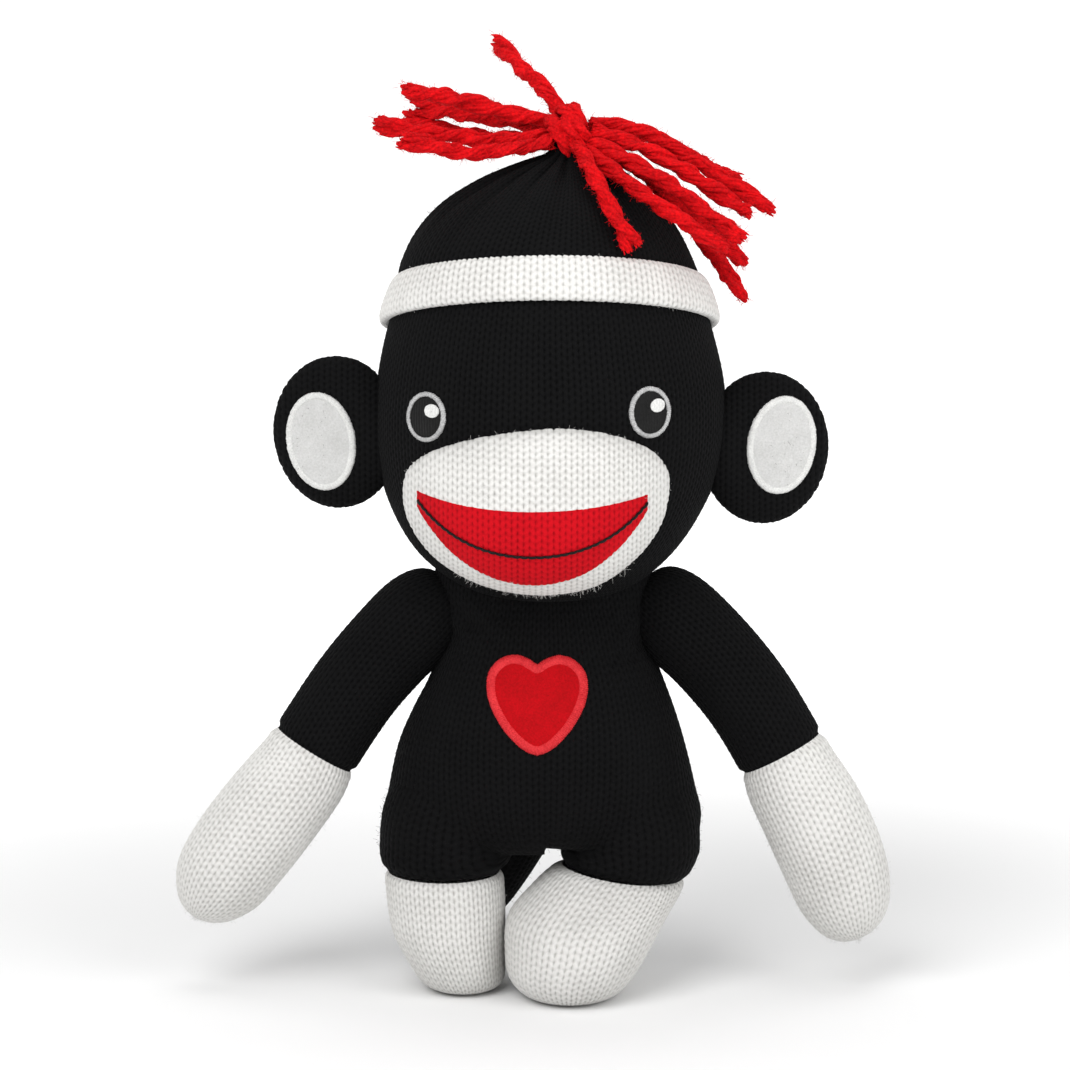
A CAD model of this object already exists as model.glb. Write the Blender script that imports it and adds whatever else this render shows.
"""The looks of the stuffed knitted monkey: knitted covers, felt patches, embroidery and a tassel of yarn."""
import math

import bpy
import numpy as np
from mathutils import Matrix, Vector
from mathutils.bvhtree import BVHTree


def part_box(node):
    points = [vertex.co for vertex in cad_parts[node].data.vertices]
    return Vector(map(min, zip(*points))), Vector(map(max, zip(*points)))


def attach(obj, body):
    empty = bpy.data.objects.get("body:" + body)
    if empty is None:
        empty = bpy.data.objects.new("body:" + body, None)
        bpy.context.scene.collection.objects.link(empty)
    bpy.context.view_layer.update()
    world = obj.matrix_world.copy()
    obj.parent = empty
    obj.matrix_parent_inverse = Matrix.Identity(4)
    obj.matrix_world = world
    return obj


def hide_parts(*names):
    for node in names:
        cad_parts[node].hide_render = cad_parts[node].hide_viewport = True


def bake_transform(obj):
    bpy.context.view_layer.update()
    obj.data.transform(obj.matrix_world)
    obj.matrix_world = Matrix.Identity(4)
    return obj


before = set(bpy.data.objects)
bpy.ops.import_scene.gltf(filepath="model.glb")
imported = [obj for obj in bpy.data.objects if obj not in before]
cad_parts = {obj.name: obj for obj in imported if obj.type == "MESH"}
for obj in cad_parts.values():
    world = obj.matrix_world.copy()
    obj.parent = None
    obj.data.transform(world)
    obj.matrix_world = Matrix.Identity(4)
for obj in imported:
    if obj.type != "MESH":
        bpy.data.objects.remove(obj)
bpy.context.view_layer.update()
random = np.random.default_rng(7)

MM = 0.001
HEAD_MIDDLE = np.array([2.0, 0.0, 130.8])  # the middle of the head's box, in the toy's own millimetres
head_low, head_high = (np.array(corner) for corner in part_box("head_cover"))
OFFSET = (head_low + head_high) / 2 / MM - HEAD_MIDDLE


def place(points):
    """Turns the toy's own millimetres into metres in the shared frame."""
    return (np.asarray(points, float) + OFFSET) * MM


def own(points):
    """Turns metres in the shared frame into the toy's own millimetres."""
    return np.asarray(points, float) / MM - OFFSET


def new_object(name, data):
    """An object in the scene that shows a mesh, curve, lamp or camera."""
    thing = bpy.data.objects.new(name, data)
    bpy.context.collection.objects.link(thing)
    return thing


def new_mesh(name, vertices, faces):
    """A mesh from points in metres."""
    mesh = bpy.data.meshes.new(name)
    mesh.from_pydata(vertices.tolist(), [], faces)
    return mesh


def full_circle(count):
    """Evenly spaced turns round a circle, in radians."""
    return np.arange(count) / count * 2 * math.pi


# Camera ----------------------------------

ELEVATION = math.radians(9)
LENS = 180.0
SENSOR = 36.0
VIEW_WIDTH = 224.7  # of the toy's own millimetres, across the picture
TARGET = (-1.05, 0.0, 98.9)
FARTHEST = 20  # metres


def make_camera():
    """A long lens in front of the toy, looking down at it a little."""
    data = bpy.data.cameras.new("camera")
    data.lens = LENS
    data.sensor_width = SENSOR
    camera = new_object("camera", data)
    distance = VIEW_WIDTH * MM * LENS / SENSOR
    back = Vector((0, -math.cos(ELEVATION), math.sin(ELEVATION)))
    camera.location = Vector(place(TARGET)) + back * distance
    camera.rotation_euler = (math.pi / 2 - ELEVATION, 0, 0)
    data.clip_end = FARTHEST
    bpy.context.scene.camera = camera


make_camera()

# Materials -------------------------------

WALE = 2.45  # width of one column of stitches, in millimetres
ROW = 1.6  # height of one row
LEG, SLOPE, WEB = 0.35, 0.2, 0.45  # what a stitch's two legs, its slant and both together add to its height


def set_inputs(node, **values):
    """Sets a node's sockets; an underscore stands for a space in a socket's name."""
    for name, value in values.items():
        node.inputs[name.replace("_", " ")].default_value = value


class Nodes:
    """A short way to write a material's node tree."""

    def __init__(self, name):
        self.material = bpy.data.materials.new(name)
        self.material.use_nodes = True
        self.material["slot"] = name  # the record's slot has the same name
        self.tree = self.material.node_tree
        self.shader = self.tree.nodes["Principled BSDF"]

    def add(self, kind, **values):
        node = self.tree.nodes.new(kind)
        for key, value in values.items():
            setattr(node, key, value)
        return node

    def link(self, source, target):
        if isinstance(source, (int, float)):
            target.default_value = source
        else:
            self.tree.links.new(source, target)

    def math(self, operation, a, b=0.0):
        node = self.add("ShaderNodeMath", operation=operation)
        self.link(a, node.inputs[0])
        self.link(b, node.inputs[1])
        return node.outputs[0]

    def noise(self, scale, detail=3.0):
        node = self.add("ShaderNodeTexNoise")
        set_inputs(node, Scale=scale, Detail=detail)
        self.link(self.add("ShaderNodeTexCoord").outputs["Object"], node.inputs["Vector"])
        return node.outputs["Fac"]

    def ramp(self, value, dark, light, low=0.0, high=1.0):
        node = self.add("ShaderNodeMapRange")
        self.link(value, node.inputs["Value"])
        set_inputs(node, From_Min=low, From_Max=high)
        mix = self.add("ShaderNodeMix", data_type="RGBA")
        self.link(node.outputs["Result"], mix.inputs["Factor"])
        mix.inputs[6].default_value = (*dark, 1)
        mix.inputs[7].default_value = (*light, 1)
        return mix.outputs[2]

    def bump(self, height, distance, strength, normal=None):
        node = self.add("ShaderNodeBump")
        set_inputs(node, Strength=strength, Distance=distance)
        self.link(height, node.inputs["Height"])
        if normal is not None:
            self.link(normal, node.inputs["Normal"])
        return node.outputs["Normal"]


def stitch_nodes(nodes):
    """How high the yarn stands at each place of a plain knit, from 0 in its holes to 1, by the UV map."""
    uv = nodes.add("ShaderNodeSeparateXYZ")
    nodes.link(nodes.add("ShaderNodeUVMap").outputs[0], uv.inputs[0])
    column = nodes.math("FRACT", uv.outputs[0])
    side = nodes.math("MULTIPLY", nodes.math("ABSOLUTE", nodes.math("SUBTRACT", column, 0.5)), 2.0)
    leg = nodes.math("POWER", nodes.math("SINE", nodes.math("MULTIPLY", side, math.pi)), 0.5)
    phase = nodes.math("SUBTRACT", uv.outputs[1], nodes.math("MULTIPLY", side, 0.5))
    wave = nodes.math("COSINE", nodes.math("MULTIPLY", phase, 2 * math.pi))
    slope = nodes.math("ADD", nodes.math("MULTIPLY", wave, 0.5), 0.5)
    hole = nodes.math("MULTIPLY", nodes.math("SUBTRACT", 1.0, leg), nodes.math("SUBTRACT", 1.0, slope))
    yarn = nodes.math("ADD", nodes.math("MULTIPLY", leg, LEG), nodes.math("MULTIPLY", slope, SLOPE))
    return nodes.math("ADD", yarn, nodes.math("MULTIPLY", nodes.math("SUBTRACT", 1.0, hole), WEB))


def knit(name, dark, light, roughness, sheen, sheen_tint):
    """A knitted cloth: its holes are darker, its yarn is fuzzy and uneven."""
    nodes = Nodes(name)
    height = stitch_nodes(nodes)
    patch = nodes.noise(90.0, 4.0)
    fibre = nodes.noise(2600.0, 3.0)
    tone = nodes.math("ADD", height, nodes.math("MULTIPLY", nodes.math("SUBTRACT", patch, 0.5), 0.5))
    tone = nodes.math("ADD", tone, nodes.math("MULTIPLY", nodes.math("SUBTRACT", fibre, 0.5), 0.55))
    nodes.link(nodes.ramp(tone, dark, light, 0.1, 0.95), nodes.shader.inputs["Base Color"])
    normal = nodes.bump(height, 0.0004, 0.45)
    nodes.link(nodes.bump(fibre, 0.00012, 0.8, normal), nodes.shader.inputs["Normal"])
    set_inputs(nodes.shader, Roughness=roughness, Specular_IOR_Level=0.07, Sheen_Weight=sheen)
    set_inputs(nodes.shader, Sheen_Roughness=0.45, Sheen_Tint=(*sheen_tint, 1))
    return nodes.material


def thread(name, dark, light, scale, roughness, sheen):
    """Embroidery thread, yarn or felt, mottled by its fibres."""
    nodes = Nodes(name)
    fibre = nodes.noise(scale, 4.0)
    patch = nodes.noise(scale / 9, 2.0)
    tone = nodes.math("ADD", nodes.math("MULTIPLY", fibre, 0.7), nodes.math("MULTIPLY", patch, 0.3))
    nodes.link(nodes.ramp(tone, dark, light, 0.35, 0.65), nodes.shader.inputs["Base Color"])
    nodes.link(nodes.bump(fibre, 0.00015, 0.8), nodes.shader.inputs["Normal"])
    set_inputs(nodes.shader, Roughness=roughness, Specular_IOR_Level=0.16, Sheen_Weight=sheen)
    set_inputs(nodes.shader, Sheen_Tint=(*light, 1))
    return nodes.material


BLACK_KNIT = knit(
    "black_knit", (0.0004, 0.0004, 0.0005), (0.0046, 0.0046, 0.0049), 0.9, 0.018, (0.6, 0.6, 0.62)
)
WHITE_KNIT = knit("white_knit", (0.36, 0.352, 0.334), (0.68, 0.672, 0.652), 0.9, 0.08, (1, 1, 1))
RED_KNIT = knit("red_knit", (0.24, 0.001, 0.004), (0.52, 0.004, 0.01), 0.85, 0.04, (1, 0.3, 0.3))
RED_YARN = thread("red_yarn", (0.36, 0.0, 0.002), (0.72, 0.002, 0.005), 1700.0, 0.9, 0.05)
RED_FELT = thread("red_felt", (0.34, 0.0, 0.002), (0.47, 0.0, 0.004), 2200.0, 0.9, 0.02)
PALE_RED_THREAD = thread("pale_red_thread", (0.5, 0.012, 0.018), (0.74, 0.04, 0.048), 3000.0, 0.5, 0.05)
WHITE_FELT = thread("white_felt", (0.47, 0.47, 0.46), (0.58, 0.577, 0.57), 2600.0, 0.9, 0.1)
WHITE_THREAD = thread("white_thread", (0.56, 0.56, 0.55), (0.76, 0.76, 0.74), 3000.0, 0.5, 0.1)
GREY_THREAD = thread("grey_thread", (0.3, 0.3, 0.3), (0.56, 0.56, 0.56), 3000.0, 0.5, 0.1)
BLACK_THREAD = thread("black_thread", (0.002, 0.002, 0.002), (0.008, 0.008, 0.008), 3000.0, 0.5, 0.04)

# Meshes ----------------------------------


def link_mesh(name, vertices, faces, material, uv=None):
    """Makes a smooth-shaded object; uv holds one pair for each corner of each face, in order."""
    mesh = new_mesh(name, place(vertices).reshape(-1, 3), faces)
    mesh.polygons.foreach_set("use_smooth", np.ones(len(mesh.polygons), bool))
    if uv is not None:
        layer = mesh.uv_layers.new(name="stitches")
        layer.data.foreach_set("uv", np.asarray(uv, np.float32).ravel())
    mesh.materials.append(material)
    mesh.update()
    piece = new_object(name, mesh)
    return piece


def unit(vectors):
    """The same directions at length 1."""
    return vectors / np.maximum(np.linalg.norm(vectors, axis=-1, keepdims=True), 1e-9)


def lengths(points):
    """How far along a line each of its points is."""
    return np.concatenate([[0], np.cumsum(np.linalg.norm(np.diff(points, axis=0), axis=1))])


def sides_of(path, away):
    """Two directions square to a path at each of its points, the first of them square to away too."""
    ahead = unit(np.gradient(path, axis=0))
    side = unit(np.cross(ahead, away))
    return side, np.cross(side, ahead)


def round_way(turn, side, up):
    """The direction that a turn in radians gives, counted from side towards up."""
    return np.cos(turn)[:, None] * side + np.sin(turn)[:, None] * up


def spline(values, at, wrap=False):
    """Catmull-Rom values along axis 0, at fractional places."""
    values = np.asarray(values, float)
    count = len(values)
    base = np.floor(at).astype(int)
    t = (at - base).reshape((-1,) + (1,) * (values.ndim - 1))
    four = [base - 1, base, base + 1, base + 2]
    four = [k % count if wrap else np.clip(k, 0, count - 1) for k in four]
    a, b, c, d = (values[k] for k in four)
    return 0.5 * (2 * b + (c - a) * t + (2 * a - 5 * b + 4 * c - d) * t**2 + (3 * b - a - 3 * c + d) * t**3)


def rings(stations, around, step, across=(1.0, 0.0, 0.0), level=False):
    """A closed bag as rings of points. A station is (middle, half width, half depth)."""
    middles = np.array([s[0] for s in stations], float)
    sizes = np.array([s[1:3] for s in stations], float)
    gaps = np.linalg.norm(np.diff(middles, axis=0), axis=1) + np.abs(np.diff(sizes[:, 0]))
    along = np.concatenate([[0], np.cumsum(gaps)])
    count = max(int(along[-1] / step), 8)
    at = np.interp(np.linspace(0, along[-1], count + 1), along, np.arange(len(stations)))
    middle, size = spline(middles, at), np.maximum(spline(sizes, at), 0.05)
    if level:
        side = np.tile([1.0, 0.0, 0.0], (len(middle), 1))
        front = np.tile([0.0, 1.0, 0.0], (len(middle), 1))
    else:
        front, side = sides_of(middle, across)
    angle = full_circle(around)
    wide = np.cos(angle)[None, :, None] * size[:, 0, None, None] * side[:, None, :]
    deep = np.sin(angle)[None, :, None] * size[:, 1, None, None] * front[:, None, :]
    return middle[:, None, :] + wide + deep


def grid_faces(rows, columns, wrap=True):
    """Quads between neighbouring points of a grid, row by row."""
    last = columns if wrap else columns - 1
    i, j = np.meshgrid(np.arange(rows - 1), np.arange(last), indexing="ij")
    k = (j + 1) % columns
    corners = [i * columns + j, i * columns + k, (i + 1) * columns + k, (i + 1) * columns + j]
    return np.stack(corners, -1).reshape(-1, 4)


SIM_SCALE = 8.0  # cloth settles best at about half a metre, so each bag is simulated this much larger
SIM_FRAMES = 16


def stuff(grid, cap, pressure, pins):
    """Fills a closed bag by cloth simulation. Pins hold its sewn rings, and no point moves over cap."""
    rows, columns = grid.shape[:2]
    flat = grid.reshape(-1, 3)
    middle = flat.mean(0)
    faces = grid_faces(rows, columns).tolist()
    faces.append(list(range(columns))[::-1])
    faces.append([(rows - 1) * columns + j for j in range(columns)])
    bag = new_object("bag", new_mesh("bag", (flat - middle) * MM * SIM_SCALE, faces))
    group = bag.vertex_groups.new(name="sewn")
    for ring, weight in pins:
        first = ring % rows * columns
        group.add(list(range(first, first + columns)), weight, "REPLACE")
    cloth = bag.modifiers.new("cloth", "CLOTH")
    settings = cloth.settings
    settings.quality = 5
    settings.mass = 0.15
    settings.tension_stiffness = settings.compression_stiffness = 18
    settings.shear_stiffness = 8
    settings.bending_stiffness = 0.3
    settings.use_pressure = True
    settings.uniform_pressure_force = pressure
    settings.effector_weights.gravity = 0
    settings.vertex_group_mass = "sewn"
    scene = bpy.context.scene
    for number in range(1, SIM_FRAMES + 1):
        scene.frame_set(number)
    found = bag.evaluated_get(bpy.context.evaluated_depsgraph_get()).to_mesh()
    moved = np.empty(len(flat) * 3)
    found.vertices.foreach_get("co", moved)
    moved = moved.reshape(-1, 3) / MM / SIM_SCALE + middle
    bpy.data.objects.remove(bag)
    scene.frame_set(1)
    shift = moved - flat
    far = np.linalg.norm(shift, axis=1)[:, None]
    shift *= np.minimum(1, cap / np.maximum(far, 1e-9))
    return (flat + shift).reshape(grid.shape)


def sewn(*places):
    """Pins that hold whole rings of a bag."""
    return [(ring, 1) for ring in places]


def normals_of(grid):
    """Outward unit normals at the points of a bag's grid."""
    return unit(np.cross(np.roll(grid, -1, 1) - np.roll(grid, 1, 1), np.gradient(grid, axis=0)))


def stitch_height(u, v):
    """How high the yarn of a plain knit stands at column u and row v, by the formula of stitch_nodes."""
    side = np.abs(u - np.floor(u) - 0.5) * 2
    leg = np.sqrt(np.maximum(np.sin(side * math.pi), 0))
    slope = 0.5 + 0.5 * np.cos(2 * math.pi * (v - 0.5 * side))
    return LEG * leg + SLOPE * slope + WEB * (1 - (1 - leg) * (1 - slope))


def flat_stitches(points, middle):
    """Columns and rows as on a patch of flat knit: straight up in front, closer where it curves away."""
    x, z = points[..., 0] - middle[0], points[..., 2] - middle[1]
    return x * (1 + 0.25 * (x / 28) ** 2) / WALE, -z * (1 + 0.25 * (z / 20) ** 2) / ROW


def corner_uv(u, v, faces):
    """A grid's columns and rows at each corner of its faces."""
    return np.stack([u, v], -1).reshape(-1, 2)[faces]


def knit_mesh(name, points, u, v, wales, material):
    """A ring of knit as one object; its columns count up to wales and start again."""
    faces = grid_faces(*points.shape[:2])
    uv = corner_uv(u, v, faces)
    columns = uv[:, :, 0]
    columns += (columns.max(1, keepdims=True) - columns > wales / 2) * wales
    return link_mesh(name, points, faces.tolist(), material, uv)


GROOVE_DEPTH = 0.8  # of a seam that draws the cloth in
GROOVE_SPREAD = 0.9


class Cloth:
    """A bag's surface at the fineness of its stitches, with the column and row of each point."""

    def __init__(self, grid, wales, per_wale=6, per_row=4, groove=None, stitches=None):
        gaps = np.linalg.norm(np.diff(grid, axis=0), axis=2).mean(1)
        along = np.concatenate([[0], np.cumsum(gaps)])
        reach = np.linspace(0, along[-1], int(along[-1] / ROW * per_row) + 1)
        fine = spline(grid, np.interp(reach, along, np.arange(len(grid))))
        columns = wales * per_wale
        places = np.arange(columns) / columns * grid.shape[1]
        fine = spline(fine.swapaxes(0, 1), places, wrap=True).swapaxes(0, 1)
        self.u = np.tile(np.arange(columns) / per_wale, (len(fine), 1))
        self.v = np.tile((reach / ROW)[:, None], (1, columns))
        self.reach = reach
        self.wales = wales
        if groove is not None:
            sunk = GROOVE_DEPTH * np.exp(-(((reach - groove) / GROOVE_SPREAD) ** 2))
            fine = fine - normals_of(fine) * sunk[:, None, None]
        self.smooth = fine
        self.normal = normals_of(self.smooth)
        self.even = stitches is not None
        if self.even:
            self.u, self.v = stitches(self.smooth)

    def knitted(self, height):
        """Raises each stitch, less where the columns are gathered close together."""
        gap = np.linalg.norm(self.smooth - np.roll(self.smooth, 1, 1), axis=2).mean(1)
        width = gap * self.smooth.shape[1] / self.wales
        share = np.ones((len(width), 1)) if self.even else np.clip(width / WALE, 0.1, 1.0)[:, None]
        wobble = 0.85 + 0.3 * random.random((1, self.u.shape[1]))
        raised = height * share * (stitch_height(self.u, self.v) - 0.5) * wobble
        return self.smooth + self.normal * raised[:, :, None]

    def piece(self, name, material, height, start=0.0, end=None):
        """The stretch of the bag between two places along it, as one object with its stitches raised."""
        points = self.knitted(height)
        first = int(np.searchsorted(self.reach, start))
        last = len(self.reach) if end is None else int(np.searchsorted(self.reach, end)) + 1
        kept = slice(first, last)
        return knit_mesh(name, points[kept], self.u[kept], self.v[kept], self.wales, material)


BEFORE = -90.0  # a place well in front of the toy, from which lines run back to meet it
MISS_REACH = 60.0  # a line that meets nothing takes the nearest place to a point this far along it


def tree_of(points):
    """A search tree of a grid's surface, in metres."""
    faces = grid_faces(*points.shape[:2])
    return BVHTree.FromPolygons(place(points.reshape(-1, 3)).tolist(), faces.tolist())


def surface_points(tree, xs, zs, lift):
    """Where lines from in front meet a surface, moved off it by lift, and the surface's normals there."""
    hits, normals = [], []
    for x, z in zip(np.ravel(xs), np.ravel(zs)):
        origin = Vector(place((x, BEFORE, z)))
        hit, normal, _, _ = tree.ray_cast(origin, Vector((0, 1, 0)))
        if hit is None:
            hit, normal, _, _ = tree.find_nearest(origin + Vector((0, MISS_REACH * MM, 0)))
        if normal.y > 0:
            normal = -normal
        hits.append(hit[:])
        normals.append(normal[:])
    shape = np.shape(xs) + (3,)
    normals = np.array(normals).reshape(shape)
    return own(np.array(hits).reshape(shape)) + normals * lift, normals


def tubes(name, paths, radii, sides, material, taper=0.0):
    """Round threads along paths, as one piece; radii is one radius, or a list of arrays for the paths."""
    vertices, faces = [], []
    turn = full_circle(sides)
    for number, path in enumerate(paths):
        path = np.asarray(path, float)
        least_way = np.linalg.svd(path - path.mean(0), full_matrices=False)[2][-1]
        side, up = sides_of(path, least_way)
        size = np.full(len(path), radii[number] if isinstance(radii, list) else radii)
        size = size * (1 - taper * np.abs(np.linspace(-1, 1, len(path))) ** 6)
        circle = np.cos(turn)[None, :, None] * side[:, None] + np.sin(turn)[None, :, None] * up[:, None]
        first = len(vertices)
        vertices.extend((path[:, None] + circle * size[:, None, None]).reshape(-1, 3))
        faces.extend((grid_faces(len(path), sides) + first).tolist())
        faces.append(list(range(first, first + sides))[::-1])
        faces.append(list(range(len(vertices) - sides, len(vertices))))
    return link_mesh(name, vertices, faces, material)


FUZZ_LEAN = 0.55
FUZZ_BEND = 0.6


def strands_of_fuzz(points, ways, length):
    """Loose fibres that stand off a surface, as bent lines."""
    t = np.linspace(0, 1, 4)[None, :, None]
    count = len(points)
    reach = length * random.uniform(0.4, 1.2, (count, 1, 1))
    lean = random.normal(0, FUZZ_LEAN, (count, 1, 3))
    curl = random.normal(0, FUZZ_BEND, (count, 1, 3)) * length
    return points[:, None] + unit(ways[:, None] + lean) * reach * t + curl * t**2 * 0.5


ON_A_STITCH = 0.25  # where the yarn stands high on the knit's UV map, so that fibres take its colour


def join_fuzz(piece, hairs, radius=0.024):
    """Adds fibres to a piece, in its own material."""
    hair = tubes(piece.name + "_fuzz", hairs, radius, 3, piece.data.materials[0])
    if piece.data.uv_layers.active:
        layer = hair.data.uv_layers.new(name=piece.data.uv_layers.active.name)
        layer.data.foreach_set("uv", np.full(len(hair.data.loops) * 2, ON_A_STITCH))
    with bpy.context.temp_override(active_object=piece, selected_editable_objects=[piece, hair]):
        bpy.ops.object.join()


def fuzz(piece, cloth, count, length=0.9, keep=None):
    """Fibres over the whole of a knitted piece, or where keep says so."""
    points = cloth.smooth.reshape(-1, 3)
    ways = cloth.normal.reshape(-1, 3)
    chosen = random.integers(len(points), size=count)
    if keep is not None:
        chosen = chosen[keep(points[chosen])]
    join_fuzz(piece, strands_of_fuzz(points[chosen] + 0.1 * ways[chosen], ways[chosen], length))


def give(piece, body, *nodes, fill=None):
    """Says which body a piece moves with, which CAD nodes it stands for and how full its stuffing is."""
    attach(piece, body)
    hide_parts(*nodes)


# Shapes, in the toy's own millimetres: (middle, half width, half depth) of each ring ---

HEAD = [
    ((1.6, 0, 84.8), 0.1, 0.1), ((1.6, 0, 85.2), 7, 7), ((1.6, 0, 87.4), 16, 15),
    ((1.3, 0, 91), 21.6, 20.6), ((1.2, 0, 96), 27, 25.4), ((1.4, 0, 102.6), 31.4, 29.2),
    ((1.8, 0, 111), 34.9, 32.4), ((2.1, 0, 121), 36.5, 34), ((2.2, 0, 131), 36.2, 33.8),
    ((2, 0, 141), 34.2, 32.2), ((2, 0, 150), 31.4, 29.8), ((2, 0, 159), 26.8, 25.6),
    ((2, 0, 167), 20.6, 20), ((2, 0, 173), 13, 12.6), ((2, 0, 176), 5.5, 5.5), ((2, 0, 176.6), 0.1, 0.1),
]
TORSO = [
    ((0.6, 1, 31.2), 0.1, 0.1), ((0.6, 1, 31.5), 10, 6), ((0.6, 0.6, 32.4), 21, 12),
    ((0.6, 0.2, 34.8), 29, 16.6), ((0.6, 0, 38.6), 33.3, 19.6), ((0.5, 0, 45), 32.5, 21.8),
    ((0.4, 0, 54.4), 30.6, 22.8), ((0.8, 0, 62), 28.2, 22.4), ((1.2, 0, 69), 25.6, 20.4),
    ((1.1, 0, 77), 23.2, 16.4), ((1.0, 0, 84), 23.4, 13.8), ((0.8, 0, 90), 23.4, 12.6),
    ((0.8, 0, 95.4), 21.6, 11.6), ((1.2, 0, 99), 16, 9), ((1.6, 0, 100.4), 0.1, 0.1),
]
LEFT_ARM = [
    ((20.2, 0.4, 87.8), 0.1, 0.1), ((20.7, 0.3, 87.4), 3.6, 3.6), ((22.6, 0.1, 86), 7.8, 7.6),
    ((27.5, 0, 82.1), 10.1, 9.7), ((35.9, -0.6, 74.2), 9.9, 9.6), ((43.9, -1.6, 64.5), 9.7, 9.4),
    ((50.9, -2.8, 52.8), 9.6, 9.4), ((53.6, -3.3, 47), 10.6, 10.2), ((57.6, -4.2, 39.6), 11.5, 10.8),
    ((61.6, -5, 30.6), 11.7, 10.8), ((64.2, -5.8, 22.6), 10.4, 9.8), ((65.8, -6.3, 17), 7.6, 7.2),
    ((66.7, -6.5, 14.2), 3.8, 3.6), ((67, -6.6, 13.4), 0.1, 0.1),
]
RIGHT_ARM = [
    ((-17.6, 0.4, 87.6), 0.1, 0.1), ((-18.1, 0.3, 87.2), 3.6, 3.6), ((-20.1, 0.1, 85.7), 7.8, 7.6),
    ((-24.8, 0, 81.8), 10.1, 9.7), ((-32, -0.6, 74.7), 9.9, 9.6), ((-39.3, -1.6, 66), 9.7, 9.4),
    ((-47.3, -2.8, 53.9), 9.6, 9.4), ((-50.6, -3.3, 48.4), 10.5, 10.1), ((-56.4, -4.2, 41), 11.2, 10.6),
    ((-62.6, -5, 33), 11.5, 10.6), ((-67.6, -5.8, 26), 10.3, 9.7), ((-70.7, -6.3, 21.2), 7.2, 6.8),
    ((-72.2, -6.5, 18.7), 3.4, 3.2), ((-72.6, -6.6, 18), 0.1, 0.1),
]
LEFT_LEG = [
    ((19.4, -3.5, 43.6), 0.1, 0.1), ((19.4, -3.5, 43.2), 6, 6), ((19.3, -3.5, 41), 10.6, 10.6),
    ((19.1, -3.6, 36), 13.3, 13.4), ((18.5, -4, 31.6), 13.8, 13.6), ((17.5, -4.8, 28.2), 13, 12.8),
    ((14, -7.8, 24), 14.8, 15.6), ((9.8, -11.4, 19.2), 16.3, 18.4), ((7.8, -13.5, 13.2), 15, 18.7),
    ((6.6, -14.5, 8.4), 13.2, 17.2), ((6.4, -14.8, 5.2), 10.6, 14), ((6.3, -15, 3.9), 7.4, 10),
    ((6.2, -15, 3.65), 4, 6), ((6.2, -15, 3.6), 0.1, 0.1),
]
RIGHT_LEG = [
    ((-19.4, -3.5, 43.6), 0.1, 0.1), ((-19.4, -3.5, 43.2), 6, 6), ((-19.4, -3.5, 41), 10.6, 10.6),
    ((-19.6, -3.6, 36), 13.2, 13.3), ((-20, -4, 32), 13.3, 13.3), ((-20.3, -4.4, 28.4), 12.5, 12.6),
    ((-19.8, -6, 21.6), 12.3, 13.7), ((-19.2, -7.5, 15.6), 11.7, 14.3), ((-17.6, -8, 9.6), 10.1, 13.9),
    ((-16.4, -8, 5.6), 8.7, 11.9), ((-16.1, -8, 4), 6.3, 8.6), ((-16, -8, 3.65), 3.4, 5),
    ((-16, -8, 3.6), 0.1, 0.1),
]
TAIL = [
    ((1.3, 11.6, 46.4), 0.1, 0.1), ((1.2, 12.2, 46), 3.4, 3.4), ((1.1, 14.2, 44.6), 5.6, 5.6),
    ((0.9, 18.6, 40.6), 6, 6), ((-2.2, 24.5, 32), 5.8, 5.8), ((-8.2, 33, 20), 5.6, 5.6),
    ((-13.4, 42, 11.6), 5.5, 5.4), ((-17.8, 51, 9.1), 5.2, 5.2), ((-21, 59.5, 8.8), 5, 5),
    ((-23.6, 63, 8.8), 3.2, 3.2), ((-24.2, 63.9, 8.8), 0.1, 0.1),
]
WRIST = 6  # the number of an arm's station at its wrist
ANKLE = 5  # and of a leg's at its ankle

# Head, hat and torso ---------------------

HIGH_STITCH = 0.36  # how far the stitches of the white pieces stand out, in millimetres
LOW_STITCH = 0.3
CROWN_STITCH = 0.32

head_bag = rings(HEAD, around=64, step=2.6, level=True)
head_grid = stuff(head_bag, cap=1.2, pressure=2.0, pins=sewn(0, -1))
head = Cloth(head_grid, 92)
head_piece = head.piece("head_knit", BLACK_KNIT, LOW_STITCH)
give(head_piece, "head", "head_cover", "head_filling", fill=0.8)
fuzz(head_piece, head, 2600)

TRUNK_WALES = 66
TRUNK_MIDDLE = 1.0
WAIST = 46.0


def trunk_stitches(points):
    """Columns that run down the torso and on over the hips, and their rows."""
    turn = np.arctan2((points[..., 0] - TRUNK_MIDDLE) / 1.15, -points[..., 1])
    return turn / (2 * math.pi) * TRUNK_WALES % TRUNK_WALES, -points[..., 2] / ROW


torso_bag = rings(TORSO, around=60, step=2.6, level=True)
torso_grid = stuff(torso_bag, cap=1.4, pressure=2.0, pins=sewn(0, -1) + [(-4, 0.8)])
torso = Cloth(torso_grid, TRUNK_WALES, 7, 4, stitches=trunk_stitches)
waist_at = torso.reach[int(np.argmax(torso.smooth[:, :, 2].mean(1) >= WAIST))]
torso_piece = torso.piece("body_knit", BLACK_KNIT, LOW_STITCH, waist_at - 0.4)
fuzz(torso_piece, torso, 1500, keep=lambda points: points[:, 2] > WAIST)
give(torso_piece, "torso", "body_cover", "body_filling", fill=0.75)
torso_tree = tree_of(torso.smooth)

HIP_POINTS = 232  # round each hip
HIP_RADIUS = 14.3
HIP_HEIGHT = 35.0  # the hip narrows above this height
SWELL_HEIGHT = 5.5  # from the ankle to where the hip has its whole width
HIP_OVERLAP = 0.9  # how far each side runs past the middle of the seat
HIP_FREE = 33.0  # below this height the hip is clear of the torso
SEAM_SLOPE = 0.15  # of the left ankle's seam


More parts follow.
